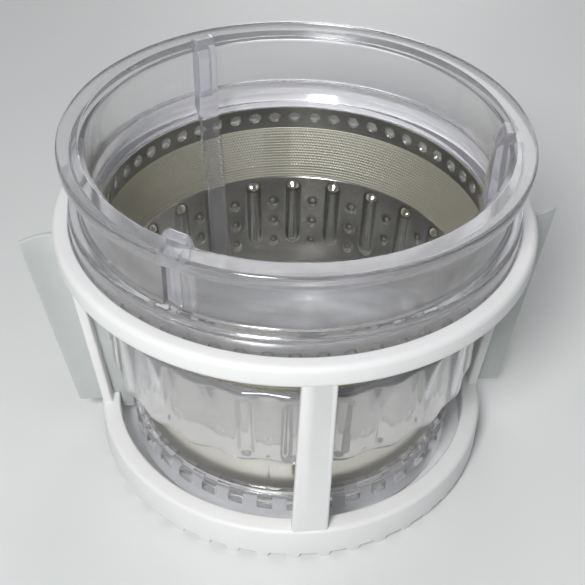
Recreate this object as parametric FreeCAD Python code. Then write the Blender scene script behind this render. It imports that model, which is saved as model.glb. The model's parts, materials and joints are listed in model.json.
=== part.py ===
"""Juicer strainer standing in its turning wiper frame, in millimetres, +Z up.

The origin is on the axis, on the surface that the crown teeth stand on.
A clear collar and a clear base hold a stainless sleeve between them, and a clear
band goes round the sleeve's flutes. A white frame with two silicone wipers turns
round the strainer, under the collar's ledge.
"""
import FreeCAD, Part
import math
import os

V = FreeCAD.Vector

# Running and fitting clearances
RUN_GAP = 0.3           # turning frame to strainer
FIT_GAP = 0.15          # pieces that are fixed to each other
WIPE_GAP = 0.35         # wiper edge to sleeve

# Wiper frame, from the teeth upwards
TOOTH_COUNT = 42
TOOTH_HEIGHT = 2.4
TOOTH_ROOT = 4.6
TOOTH_TIP = 2.8
TOOTH_INSET = 0.6       # tooth's outer end inside the flange's edge
TOOTH_LENGTH = 4.0
FLANGE_HEIGHT = 9.3
FLANGE_WIDTH = 5.25
FLANGE_ROUNDING = 1.2
STRUT_COUNT = 4
STRUT_AZIMUTH = 6.0     # the strut of the right wiper
STRUT_HEIGHT = 59.7     # flange to upper ring
STRUT_THICKNESS = 2.8
STRUT_TOP_WIDTH = 8.3
STRUT_FOOT_WIDTH = 9.8
STRUT_INSET = 0.5       # strut's outer face inside the ring's and the flange's edge
STRUT_EDGE = 0.7
RING_HEIGHT = 6.2
RING_WIDTH = 4.3
RING_ROUNDING = 1.6
LIP_THICKNESS = 2.6     # the seat inside the upper ring

# Silicone wipers
WIPER_THICKNESS = 1.5
WIPER_TOP_REACH = 9.1   # outer blade's top outside the upper ring
WIPER_FOOT_REACH = 6.8  # outer blade's foot outside the flange
WIPER_TOP_DROP = 0.4    # below the upper ring
WIPER_FOOT_DROP = 2.1   # outer blade's foot below the flange's top
INNER_FOOT_DROP = 6.0   # inner blade's foot below the flange's top
WIPER_INNER_DROP = 5.4  # inner blade's top below the upper ring
SLOT_END_MARGIN = 6.0   # the strut's slot ends this far from the flange and the inner blade's top

# Clear collar
RIM_PROUD = 3.8         # rim outside the neck
RIM_HEIGHT = 3.6
RIM_ROUNDING = 0.9
MOUTH_STEP = 1.6        # mouth outside the sleeve's inner face
MOUTH_CHAMFER = 1.6
NECK_HEIGHT = 14.2
NECK_WALL = 3.1
LEDGE_PROUD = 2.8       # ledge outside the neck
LEDGE_HEIGHT = 8.4
LEDGE_ROUNDING = 1.4
SKIRT_DROP = 5.8
SKIRT_WALL = 2.6
CAP_LIP = 2.0           # lip that covers the sleeve's upper edge
RIB_COUNT = 3
RIB_AZIMUTH = 1.0
RIB_DEPTH = 2.2
RIB_WIDTH = 6.4
LUG_DEPTH = 3.1
LUG_HUMP = 1.0          # lug's top above the rim
LUG_ROUNDING = 0.7
GROOVE_DEPTH = 1.6      # hollow behind each lug, outside the neck
GROOVE_WIDTH = 5.0

# Stainless sleeve
SHEET = 0.5
SLEEVE_TOP_RADIUS = 51.5
MESH_TAPER = 3.1        # radius at the border less radius at the mesh's foot
FLUTE_TAPER = 3.4       # radius at the mesh's foot less radius at the lower edge
SLEEVE_SEAT = 2.0       # upper edge above the ledge's underside
BORDER_HEIGHT = 6.8
MESH_HEIGHT = 15.8
STUD_COUNT = 54
STUD_RADIUS = 1.6
STUD_DROP = 3.1         # below the sleeve's upper edge
STUD_PROUD = 0.25
MESH_ROWS = 5
MESH_SLOT_HEIGHT = 1.0
MESH_SLOT_ANGLE = 11.5
FLUTES_PER_RIB = 8      # places between two ribs, the rib's own among them
FLUTE_LENGTH = 22.0
FLUTE_WIDTH = 4.4
FLUTE_DEPTH = 1.4
FLUTE_TOP_DROP = 1.6    # below the mesh band

# Clear band round the flutes
BAND_RISE = 3.3         # band's top above the mesh's foot
BAND_HEIGHT = 24.4
BAND_WALL = 2.2
BAND_ROUNDING = 0.7

# Clear base
BASE_LIFT = 3.0         # foot above the standing surface
BASE_OVERLAP = 6.0      # wall inside the sleeve's lower end
BASE_WALL = 2.5
FOOT_HEIGHT = 12.0
FOOT_PROUD = 2.1
FOOT_WALL = 2.2
FOOT_ROUNDING = 0.6
FOOT_SLOTS = 36
FOOT_SLOT_AZIMUTH = 2.0
FOOT_SLOT_WIDTH = 4.2
FOOT_SLOT_HEIGHT = 3.2
FOOT_SLOT_LIFT = 6.2    # slot's lower edge above the foot's
FOOT_CLEARANCE = 4.3    # foot to the frame's flange
FLOOR_THICKNESS = 2.5
BORE_RADIUS = 14.0
BOSS_WALL = 3.0
BOSS_ABOVE = 6.0
BOSS_BELOW = 3.5
PORT_INNER_RADIUS = 26.0
PORT_OUTER_RADIUS = 36.0
PORT_ANGLE = 60.0
PORT_AZIMUTH = 60.0

# Heights that follow from the sizes above
flange_bottom = TOOTH_HEIGHT
flange_top = flange_bottom + FLANGE_HEIGHT
ring_bottom = flange_top + STRUT_HEIGHT
ring_top = ring_bottom + RING_HEIGHT
lip_top = ring_bottom + LIP_THICKNESS
ledge_bottom = lip_top + RUN_GAP
ledge_top = ledge_bottom + LEDGE_HEIGHT
rim_bottom = ledge_top + NECK_HEIGHT
rim_top = rim_bottom + RIM_HEIGHT
skirt_bottom = ledge_bottom - SKIRT_DROP
sleeve_top = ledge_bottom + SLEEVE_SEAT
border_bottom = sleeve_top - BORDER_HEIGHT
mesh_bottom = border_bottom - MESH_HEIGHT
band_top = mesh_bottom + BAND_RISE
band_bottom = band_top - BAND_HEIGHT
foot_top = BASE_LIFT + FOOT_HEIGHT
sleeve_bottom = foot_top + FIT_GAP
base_top = sleeve_bottom + BASE_OVERLAP

# Radii that follow from the sizes above
mouth_radius = SLEEVE_TOP_RADIUS + MOUTH_STEP
neck_outer = mouth_radius + NECK_WALL
rim_outer = neck_outer + RIM_PROUD
ledge_outer = neck_outer + LEDGE_PROUD
mesh_foot_radius = SLEEVE_TOP_RADIUS - MESH_TAPER
sleeve_foot_radius = mesh_foot_radius - FLUTE_TAPER
skirt_inner = SLEEVE_TOP_RADIUS + SHEET + FIT_GAP
skirt_outer = skirt_inner + SKIRT_WALL
lip_inner = skirt_outer + RUN_GAP
ring_inner = ledge_outer + RUN_GAP
ring_outer = ring_inner + RING_WIDTH
base_outer = sleeve_foot_radius - FIT_GAP
base_inner = base_outer - BASE_WALL
foot_outer = base_outer + FOOT_PROUD
flange_inner = foot_outer + FOOT_CLEARANCE
flange_outer = flange_inner + FLANGE_WIDTH
wiper_top_radius = ring_outer + WIPER_TOP_REACH
wiper_foot_radius = flange_outer + WIPER_FOOT_REACH


def rounded_face(corners):
    """Face in the XZ plane from corners of radius, height and rounding."""
    starts = []
    ends = []
    arcs = []
    for index, (radius, height, rounding) in enumerate(corners):
        here = V(radius, 0, height)
        if not rounding:
            starts.append(here)
            ends.append(here)
            arcs.append(None)
            continue
        before = corners[index - 1]
        after = corners[(index + 1) % len(corners)]
        back = V(before[0], 0, before[1]).sub(here).normalize()
        ahead = V(after[0], 0, after[1]).sub(here).normalize()
        half = back.getAngle(ahead) / 2
        reach = rounding / math.tan(half)
        middle = V(back).add(ahead).normalize().multiply(rounding / math.sin(half) - rounding)
        first = here.add(V(back).multiply(reach))
        last = here.add(V(ahead).multiply(reach))
        starts.append(first)
        ends.append(last)
        arcs.append(Part.Arc(first, here.add(middle), last).toShape())
    edges = []
    for index, arc in enumerate(arcs):
        if arc:
            edges.append(arc)
        following = starts[(index + 1) % len(starts)]
        edges.append(Part.LineSegment(ends[index], following).toShape())
    return Part.Face(Part.Wire(edges))


def turned(corners, angle=360.0, azimuth=0.0):
    """Solid of a profile turned about the axis, centred on an azimuth when it is a part turn."""
    solid = rounded_face(corners).revolve(V(0, 0, 0), V(0, 0, 1), angle)
    if angle < 360.0:
        solid.rotate(V(0, 0, 0), V(0, 0, 1), azimuth - angle / 2)
    return solid


def turned_block(inner, outer, bottom, top, angle, azimuth):
    """Ring segment with plain corners."""
    corners = [(inner, bottom, 0), (outer, bottom, 0), (outer, top, 0), (inner, top, 0)]
    return turned(corners, angle, azimuth)


def azimuths(count, first=0.0):
    """Evenly spaced azimuths in degrees."""
    return [first + 360.0 * index / count for index in range(count)]


def at_azimuth(shape, azimuth):
    """Copy of a shape turned about the axis."""
    copy = shape.copy()
    copy.rotate(V(0, 0, 0), V(0, 0, 1), azimuth)
    return copy


def arc_angle(width, radius):
    """Angle in degrees that a width takes up at a radius."""
    return math.degrees(width / radius)


def sleeve_inner(height):
    """Inner radius of the sleeve at a height: a straight border, the mesh's cone and the flutes' cone."""
    mesh_share = min(max((border_bottom - height) / MESH_HEIGHT, 0.0), 1.0)
    flute_share = max((mesh_bottom - height) / (mesh_bottom - sleeve_bottom), 0.0)
    return SLEEVE_TOP_RADIUS - mesh_share * MESH_TAPER - flute_share * FLUTE_TAPER


def collar_shell():
    """Rim, neck, ledge and skirt in one turned profile."""
    cap_top = sleeve_top + FIT_GAP + CAP_LIP
    return turned([
        (mouth_radius + MOUTH_CHAMFER, rim_top, 0),
        (rim_outer, rim_top, RIM_ROUNDING),
        (rim_outer, rim_bottom, 0),
        (neck_outer, rim_bottom, 0),
        (neck_outer, ledge_top, 0),
        (ledge_outer, ledge_top, LEDGE_ROUNDING),
        (ledge_outer, ledge_bottom, 0),
        (skirt_outer, ledge_bottom, 0),
        (skirt_outer, skirt_bottom, 0),
        (skirt_inner, skirt_bottom, 0),
        (skirt_inner, sleeve_top + FIT_GAP, 0),
        (SLEEVE_TOP_RADIUS, sleeve_top + FIT_GAP, 0),
        (SLEEVE_TOP_RADIUS, cap_top, 0),
        (mouth_radius, cap_top + CAP_LIP, 0),
        (mouth_radius, rim_top - MOUTH_CHAMFER, 0),
    ])


def collar_rib():
    """One rib at azimuth 0: the lug inside the neck and the bar down the sleeve."""
    foot = base_top + FIT_GAP
    lug = mouth_radius - LUG_DEPTH
    anchor = mouth_radius + NECK_WALL / 2
    corners = [
        (anchor, rim_top, 0),
        (mouth_radius + MOUTH_CHAMFER, rim_top + LUG_HUMP, LUG_ROUNDING),
        (mouth_radius - LUG_HUMP, rim_top + LUG_HUMP, LUG_ROUNDING),
        (lug, rim_bottom, 0),
        (SLEEVE_TOP_RADIUS - RIB_DEPTH, border_bottom, 0),
        (mesh_foot_radius - RIB_DEPTH, mesh_bottom, 0),
        (sleeve_inner(foot) - RIB_DEPTH, foot, 0),
        (sleeve_inner(foot) - FIT_GAP, foot, 0),
        (mesh_foot_radius - FIT_GAP, mesh_bottom, 0),
        (SLEEVE_TOP_RADIUS - FIT_GAP, border_bottom, 0),
        (SLEEVE_TOP_RADIUS - FIT_GAP, sleeve_top + FIT_GAP, 0),
        (anchor, sleeve_top + 2 * FIT_GAP, 0),
    ]
    return turned(corners, arc_angle(RIB_WIDTH, mouth_radius))


def stud():
    """One stud at azimuth 0, from the skirt through the sleeve's border."""
    tip = SLEEVE_TOP_RADIUS - STUD_PROUD
    length = skirt_inner + SKIRT_WALL / 2 - tip
    return Part.makeCylinder(STUD_RADIUS, length, V(tip, 0, sleeve_top - STUD_DROP), V(1, 0, 0))


def rib_azimuths():
    """Azimuths of the ribs."""
    return azimuths(RIB_COUNT, RIB_AZIMUTH)


def stud_azimuths():
    """Azimuths of the studs, half a pitch off the first rib."""
    return azimuths(STUD_COUNT, RIB_AZIMUTH + 180.0 / STUD_COUNT)


def make_top_collar():
    """Clear moulding round the upper end of the sleeve."""
    rib = collar_rib()
    ribs = [at_azimuth(rib, azimuth) for azimuth in rib_azimuths()]
    peg = stud()
    studs = [at_azimuth(peg, azimuth) for azimuth in stud_azimuths()]
    grooves = [
        turned_block(neck_outer - GROOVE_DEPTH, rim_outer, ledge_top, rim_bottom,
                     arc_angle(GROOVE_WIDTH, neck_outer), azimuth)
        for azimuth in rib_azimuths()
    ]
    return collar_shell().cut(grooves).fuse(ribs + studs).removeSplitter()


def sleeve_sheet():
    """The sheet before it is pierced and pressed."""
    return turned([
        (SLEEVE_TOP_RADIUS, sleeve_top, 0),
        (SLEEVE_TOP_RADIUS, border_bottom, 0),
        (mesh_foot_radius, mesh_bottom, 0),
        (sleeve_foot_radius, sleeve_bottom, 0),
        (sleeve_foot_radius + SHEET, sleeve_bottom, 0),
        (mesh_foot_radius + SHEET, mesh_bottom, 0),
        (SLEEVE_TOP_RADIUS + SHEET, border_bottom, 0),
        (SLEEVE_TOP_RADIUS + SHEET, sleeve_top, 0),
    ])


def sleeve_core():
    """Everything inside the sheet's outer face, over the fluted band."""
    return turned([
        (0, mesh_bottom, 0),
        (0, sleeve_bottom, 0),
        (sleeve_foot_radius + SHEET, sleeve_bottom, 0),
        (mesh_foot_radius + SHEET, mesh_bottom, 0),
    ])


def flute_bar(inset):
    """Bar along the cone at azimuth 0 with round ends, thinner than the press by an inset."""
    press_radius = (FLUTE_WIDTH ** 2 / 4 + FLUTE_DEPTH ** 2) / (2 * FLUTE_DEPTH)
    offset = press_radius - FLUTE_DEPTH
    upper = mesh_bottom - FLUTE_TOP_DROP - press_radius
    lower = mesh_bottom - FLUTE_TOP_DROP - FLUTE_LENGTH + press_radius
    head = V(sleeve_inner(upper) + offset, 0, upper)
    tail = V(sleeve_inner(lower) + offset, 0, lower)
    radius = press_radius - inset
    bar = Part.makeCylinder(radius, tail.sub(head).Length, head, tail.sub(head))
    return bar.fuse([Part.makeSphere(radius, head), Part.makeSphere(radius, tail)])


def flute_azimuths():
    """Azimuths of the flutes; a rib takes the place of one flute in each third."""
    every = azimuths(RIB_COUNT * FLUTES_PER_RIB, RIB_AZIMUTH)
    return [azimuth for index, azimuth in enumerate(every) if index % FLUTES_PER_RIB]


def mesh_slots():
    """Cutters for the mesh band, staggered from row to row."""
    columns = RIB_COUNT * FLUTES_PER_RIB
    pitch = MESH_HEIGHT / MESH_ROWS
    cutters = []
    for row in range(MESH_ROWS):
        middle = border_bottom - (row + 0.5) * pitch
        shift = (row % 2) * 180.0 / columns
        for azimuth in azimuths(columns, RIB_AZIMUTH + shift):
            cutters.append(turned_block(
                sleeve_inner(middle) - SHEET, sleeve_inner(middle) + 2 * SHEET,
                middle - MESH_SLOT_HEIGHT / 2, middle + MESH_SLOT_HEIGHT / 2,
                MESH_SLOT_ANGLE, azimuth))
    return cutters


def stud_holes():
    """Cutters for the row of stud holes in the border."""
    start = V(SLEEVE_TOP_RADIUS - SHEET, 0, sleeve_top - STUD_DROP)
    hole = Part.makeCylinder(STUD_RADIUS + FIT_GAP, 3 * SHEET, start, V(1, 0, 0))
    return [at_azimuth(hole, azimuth) for azimuth in stud_azimuths()]


def make_mesh_sleeve():
    """Stainless sheet with its border, mesh band and pressed flutes."""
    ridge = flute_bar(0.0).common(sleeve_core())
    hollow = flute_bar(SHEET)
    ridges = [at_azimuth(ridge, azimuth) for azimuth in flute_azimuths()]
    hollows = [at_azimuth(hollow, azimuth) for azimuth in flute_azimuths()]
    pressed = sleeve_sheet().fuse(ridges).cut(hollows)
    return pressed.cut(mesh_slots() + stud_holes())


def band_inner():
    """Inner radius of the clear band, which fits the sleeve at the band's top."""
    return sleeve_inner(band_top) + SHEET + FIT_GAP


def make_clear_band():
    """Clear ring round the flutes and the lower end of the mesh."""
    band_outer = band_inner() + BAND_WALL
    return turned([
        (band_inner(), band_top, 0),
        (band_outer, band_top, BAND_ROUNDING),
        (band_outer, band_bottom, BAND_ROUNDING),
        (band_inner(), band_bottom, 0),
    ])


def base_shell():
    """Wall, foot, floor and boss in one turned profile."""
    floor_bottom = foot_top - FLOOR_THICKNESS
    boss_outer = BORE_RADIUS + BOSS_WALL
    return turned([
        (base_outer, base_top, 0),
        (base_outer, foot_top, 0),
        (foot_outer, foot_top, FOOT_ROUNDING),
        (foot_outer, BASE_LIFT, 0),
        (foot_outer - FOOT_WALL, BASE_LIFT, 0),
        (foot_outer - FOOT_WALL, floor_bottom, 0),
        (boss_outer, floor_bottom, 0),
        (boss_outer, floor_bottom - BOSS_BELOW, 0),
        (BORE_RADIUS, floor_bottom - BOSS_BELOW, 0),
        (BORE_RADIUS, foot_top + BOSS_ABOVE, 0),
        (boss_outer, foot_top + BOSS_ABOVE, 0),
        (boss_outer, foot_top, 0),
        (base_inner, foot_top, 0),
        (base_inner, base_top, 0),
    ])


def make_base_cup():
    """Clear moulding under the sleeve, with the auger's bore and the pulp port."""
    slot_bottom = BASE_LIFT + FOOT_SLOT_LIFT
    slots = [
        turned_block(foot_outer - 2 * FOOT_WALL, foot_outer + FOOT_WALL, slot_bottom,
                     slot_bottom + FOOT_SLOT_HEIGHT, arc_angle(FOOT_SLOT_WIDTH, foot_outer), azimuth)
        for azimuth in azimuths(FOOT_SLOTS, FOOT_SLOT_AZIMUTH)
    ]
    port = turned_block(PORT_INNER_RADIUS, PORT_OUTER_RADIUS, foot_top - 2 * FLOOR_THICKNESS,
                        foot_top + FLOOR_THICKNESS, PORT_ANGLE, PORT_AZIMUTH)
    return base_shell().cut(slots + [port])


def frame_ring():
    """Upper ring with the inner lip that the collar's ledge stands on."""
    return turned([
        (ring_inner, ring_top, 0),
        (ring_outer, ring_top, RING_ROUNDING),
        (ring_outer, ring_bottom, RING_ROUNDING),
        (lip_inner, ring_bottom, 0),
        (lip_inner, lip_top, 0),
        (ring_inner, lip_top, 0),
    ])


def frame_flange():
    """Lower flange."""
    return turned([
        (flange_inner, flange_top, 0),
        (flange_outer, flange_top, FLANGE_ROUNDING),
        (flange_outer, flange_bottom, 0),
        (flange_inner, flange_bottom, 0),
    ])


def strut_outer(height):
    """Radius of a strut's outer face at a height."""
    share = (height - flange_top) / STRUT_HEIGHT
    foot = flange_outer - STRUT_INSET
    return foot + share * (ring_outer - STRUT_INSET - foot)


def frame_strut():
    """One strut at azimuth 0, from the middle of the flange to the middle of the ring."""
    sections = []
    lower = flange_top - FLANGE_HEIGHT / 2
    upper = ring_bottom + LIP_THICKNESS / 2
    for height, width in ((lower, STRUT_FOOT_WIDTH), (upper, STRUT_TOP_WIDTH)):
        outer = strut_outer(height)
        inner = outer - STRUT_THICKNESS
        corners = [V(inner, -width / 2, height), V(outer, -width / 2, height),
                   V(outer, width / 2, height), V(inner, width / 2, height)]
        sections.append(Part.makePolygon(corners + corners[:1]))
    strut = Part.makeLoft(sections, True, True)
    long_edges = [edge for edge in strut.Edges if edge.Length > STRUT_HEIGHT]
    return strut.makeFillet(STRUT_EDGE, long_edges)


def tooth():
    """One crown tooth at azimuth 0, under the flange."""
    outer = flange_outer - TOOTH_INSET
    root = flange_bottom + TOOTH_HEIGHT / 2
    grow = (TOOTH_ROOT - TOOTH_TIP) / 2 / TOOTH_HEIGHT
    half_root = TOOTH_TIP / 2 + grow * root
    half_tip = TOOTH_TIP / 2
    corners = [V(outer, -half_tip, 0), V(outer, half_tip, 0),
               V(outer, half_root, root), V(outer, -half_root, root)]
    return Part.Face(Part.makePolygon(corners + corners[:1])).extrude(V(-TOOTH_LENGTH, 0, 0))


def wiper_top():
    """Height of the outer blade's top."""
    return ring_bottom - WIPER_TOP_DROP


def inner_blade_top():
    """Height of the inner blade's top, under the collar's skirt."""
    return ring_bottom - WIPER_INNER_DROP


def wiper_slot():
    """Cutter for the slot that a wiper passes through, at azimuth 0."""
    bottom = flange_top + SLOT_END_MARGIN
    top = inner_blade_top() - SLOT_END_MARGIN
    width = WIPER_THICKNESS + 2 * FIT_GAP
    return Part.makeBox(ring_outer - flange_inner, width, top - bottom, V(flange_inner, -width / 2, bottom))


def wiper_azimuths():
    """Azimuths of the two struts that carry wipers."""
    return azimuths(2, STRUT_AZIMUTH)


def make_wiper_frame():
    """White moulding: ring, struts, flange and crown teeth."""
    strut = frame_strut()
    struts = [at_azimuth(strut, azimuth) for azimuth in azimuths(STRUT_COUNT, STRUT_AZIMUTH)]
    crown_tooth = tooth()
    teeth = [at_azimuth(crown_tooth, azimuth) for azimuth in azimuths(TOOTH_COUNT, STRUT_AZIMUTH)]
    slots = [at_azimuth(wiper_slot(), azimuth) for azimuth in wiper_azimuths()]
    return frame_ring().fuse([frame_flange()] + struts + teeth).cut(slots).removeSplitter()


def wiper_plate(corners):
    """Plate of the wiper's thickness from corners of radius and height, at azimuth 0."""
    points = [V(radius, -WIPER_THICKNESS / 2, height) for radius, height in corners]
    return Part.Face(Part.makePolygon(points + points[:1])).extrude(V(0, WIPER_THICKNESS, 0))


def make_wiper():
    """One silicone strip at azimuth 0: outer blade, web through the strut and inner blade."""
    top = wiper_top()
    foot = flange_top - WIPER_FOOT_DROP
    inner_top = inner_blade_top()
    inner_foot = flange_top - INNER_FOOT_DROP
    step = flange_top + FIT_GAP
    web_bottom = flange_top + SLOT_END_MARGIN + FIT_GAP
    web_top = inner_top - SLOT_END_MARGIN - FIT_GAP
    band_clear = band_inner() + BAND_WALL + WIPE_GAP
    under_band = band_bottom - WIPE_GAP
    outer_blade = wiper_plate([
        (flange_outer + FIT_GAP, foot),
        (wiper_foot_radius, foot),
        (wiper_top_radius, top),
        (strut_outer(top) + FIT_GAP, top),
        (strut_outer(step) + FIT_GAP, step),
        (flange_outer + FIT_GAP, step),
    ])
    inner_blade = wiper_plate([
        (flange_inner - FIT_GAP, inner_foot),
        (flange_inner - FIT_GAP, step),
        (strut_outer(step) - STRUT_THICKNESS - FIT_GAP, step),
        (strut_outer(inner_top) - STRUT_THICKNESS - FIT_GAP, inner_top),
        (skirt_outer + WIPE_GAP, inner_top),
        (band_clear, band_top),
        (band_clear, under_band),
        (sleeve_inner(under_band) + SHEET + WIPE_GAP, under_band),
        (foot_outer + WIPE_GAP, foot_top),
        (foot_outer + WIPE_GAP, inner_foot),
    ])
    web = wiper_plate([
        (strut_outer(web_bottom) - STRUT_THICKNESS - 2 * FIT_GAP, web_bottom),
        (strut_outer(web_bottom) + 2 * FIT_GAP, web_bottom),
        (strut_outer(web_top) + 2 * FIT_GAP, web_top),
        (strut_outer(web_top) - STRUT_THICKNESS - 2 * FIT_GAP, web_top),
    ])
    return outer_blade.fuse([inner_blade, web]).removeSplitter()


def main():
    """Build every piece and write one file for each."""
    wiper = make_wiper()
    right, left = wiper_azimuths()
    pieces = {
        "top_collar": make_top_collar(),
        "mesh_sleeve": make_mesh_sleeve(),
        "clear_band": make_clear_band(),
        "base_cup": make_base_cup(),
        "wiper_frame": make_wiper_frame(),
        "wiper_right": at_azimuth(wiper, right),
        "wiper_left": at_azimuth(wiper, left),
    }
    os.makedirs("parts", exist_ok=True)
    for name, shape in pieces.items():
        print(name, "solids", len(shape.Solids), "valid", shape.isValid(), "volume %.1f" % shape.Volume)
        shape.exportStep("parts/%s.step" % name)


main()
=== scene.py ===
"""Looks of a juicer strainer that stands in its turning wiper frame.

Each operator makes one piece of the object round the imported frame, in metres.
"""
import json
import math
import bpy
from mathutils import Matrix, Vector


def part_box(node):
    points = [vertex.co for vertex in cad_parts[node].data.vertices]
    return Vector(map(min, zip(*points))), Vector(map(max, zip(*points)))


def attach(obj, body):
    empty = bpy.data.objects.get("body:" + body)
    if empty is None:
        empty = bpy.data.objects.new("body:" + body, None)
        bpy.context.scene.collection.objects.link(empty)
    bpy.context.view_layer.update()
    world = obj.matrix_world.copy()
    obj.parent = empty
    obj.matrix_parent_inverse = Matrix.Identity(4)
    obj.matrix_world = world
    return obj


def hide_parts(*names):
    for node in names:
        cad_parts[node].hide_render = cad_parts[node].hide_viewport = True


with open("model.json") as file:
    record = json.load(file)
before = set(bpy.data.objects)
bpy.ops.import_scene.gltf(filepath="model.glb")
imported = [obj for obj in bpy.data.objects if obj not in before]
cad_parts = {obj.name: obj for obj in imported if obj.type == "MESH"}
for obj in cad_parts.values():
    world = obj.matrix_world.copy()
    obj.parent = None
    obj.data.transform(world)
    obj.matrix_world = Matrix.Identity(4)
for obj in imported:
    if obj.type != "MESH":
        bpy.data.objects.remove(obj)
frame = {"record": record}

from types import SimpleNamespace

import bmesh
import bpy
from bpy.props import FloatProperty, FloatVectorProperty, IntProperty, PointerProperty
from mathutils import Matrix, Vector

bl_info = {
    "name": "Juicer Strainer",
    "version": (1, 0, 0),
    "blender": (4, 5, 0),
    "location": "View3D > Sidebar > Strainer",
    "description": "Clear collar, band and base, steel mesh sleeve, white wiper frame and silicone wipers",
    "category": "Mesh",
}

MM = 0.001
FULL_TURN = 2 * math.pi
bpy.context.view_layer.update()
MOUNTS = {mount["name"]: mount for mount in frame["record"]["mounts"]}

# Heights and the widest radius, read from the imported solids
SLEEVE_BOTTOM, SLEEVE_TOP = (corner.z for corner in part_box("mesh_sleeve"))
BAND_BOTTOM, BAND_TOP = (corner.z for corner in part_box("clear_band"))
BASE_BOTTOM, BASE_TOP = (corner.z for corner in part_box("base_cup"))
INNER_BLADE_FOOT, WIPER_TOP = (corner.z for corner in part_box("wiper_right"))
RING_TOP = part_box("wiper_frame")[1].z
RING_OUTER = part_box("wiper_frame")[1].y
LUG_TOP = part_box("top_collar")[1].z

# Clearances of the solids, in metres
RUN_GAP = 0.3 * MM
FIT_GAP = 0.15 * MM
WIPE_GAP = 0.35 * MM

# Trim that keeps a rounded top inside its solid
TRIM = 0.001 * MM

# Points that are nearer to each other than this are one point, in metres
WELD = 1e-7

# Repeats; the place behind each rib has no flute
RIB_COUNT = 3
FLUTES_PER_RIB = 8
FLUTE_PLACES = RIB_COUNT * FLUTES_PER_RIB
DIMPLE_ROWS = 3
STUD_COUNT = 54
TOOTH_COUNT = 42
STRUT_COUNT = 4
WIPER_COUNT = 2
FOOT_SLOT_COUNT = 36

# Fineness of the meshes: steps of a full turn, a rounding, a stud, a flute, a wave, the port and a blade
ROUND_STEPS = 216
EDGE_STEPS = 3
STUD_SIDES = 14
FLUTE_COLUMNS = 30
FLUTE_ROWS = 60
WAVE_STEPS = 12
PORT_STEPS = 24
BLADE_STEPS = 8

# Steepness of a dimple's flank
DIMPLE_FALL = 1.6

# Numbers of the node sockets that share their name with others
FIRST_COLOUR = 6
SECOND_COLOUR = 7
MIXED_COLOUR = 2
FIRST_SHADER = 1
SECOND_SHADER = 2

# Azimuths, in radians
RIB_AZIMUTH = math.radians(1.0)
STUD_AZIMUTH = RIB_AZIMUTH + math.pi / STUD_COUNT
STRUT_AZIMUTH = math.radians(6.0)
FOOT_SLOT_AZIMUTH = math.radians(2.0)
SEAM_AZIMUTH = math.radians(263.0)
PORT_AZIMUTH = math.radians(60.0)
PORT_SPAN = math.radians(60.0)


def length(name, description, millimetres):
    """A size that a user may change, stored in metres."""
    return FloatProperty(name=name, description=description, default=millimetres * MM,
                         min=0.0, precision=5, subtype="DISTANCE", unit="LENGTH")


def linear(hex_colour):
    """Linear RGBA of an sRGB hex colour."""
    channels = [int(hex_colour[place:place + 2], 16) / 255 for place in (1, 3, 5)]
    return [c / 12.92 if c <= 0.04045 else ((c + 0.055) / 1.055) ** 2.4 for c in channels] + [1.0]


def colour(name, description, hex_colour):
    """A colour that a user may change."""
    return FloatVectorProperty(name=name, description=description, size=4, min=0.0, max=1.0,
                               subtype="COLOR", default=linear(hex_colour))


class CollarSizes(bpy.types.PropertyGroup):
    """Sizes of the clear collar."""
    rim_radius: length("Rim radius", "Outer radius of the rim", MOUNTS["lid_rim"]["dims"]["r_mm"])
    rim_height: length("Rim height", "Height of the rim's outer face", 3.6)
    mouth_radius: length("Mouth radius", "Inner radius of the collar", 53.1)
    mouth_chamfer: length("Mouth chamfer", "Chamfer inside the rim", 1.6)
    neck_height: length("Neck height", "Height of the neck under the rim", 14.2)
    neck_wall: length("Neck wall", "Wall of the neck", 3.1)
    ledge_radius: length("Ledge radius", "Outer radius of the ledge", 59.0)
    ledge_height: length("Ledge height", "Height of the ledge", 8.4)
    skirt_drop: length("Skirt drop", "Skirt below the ledge", 5.8)
    skirt_wall: length("Skirt wall", "Wall of the skirt", 2.6)
    cap_lip: length("Cap lip", "Lip over the sleeve's upper edge", 2.0)
    rib_width: length("Rib width", "Width of an inner rib", 6.4)
    rib_depth: length("Rib depth", "Depth of a rib over the sleeve", 2.2)
    rib_rounding: length("Rib rounding", "Rounding of a rib's long edges", 0.8)
    lug_depth: length("Lug depth", "Depth of a lug inside the neck", 3.1)
    lug_hump: length("Lug hump", "Top of a lug above the rim", 1.0)
    groove_depth: length("Groove depth", "Hollow behind a lug, outside the neck", 1.6)
    groove_width: length("Groove width", "Width of that hollow", 5.0)
    stud_radius: length("Stud radius", "Radius of a stud in the sleeve's border", 1.6)
    stud_drop: length("Stud drop", "Studs below the sleeve's upper edge", 3.1)
    stud_proud: length("Stud proud", "Stud's tip inside the sleeve", 0.25)
    stud_rim: length("Stud rim", "Width of the raised edge round a stud's hollow tip", 0.6)
    stud_hollow: length("Stud hollow", "Depth of a stud's hollow tip", 0.7)


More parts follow.
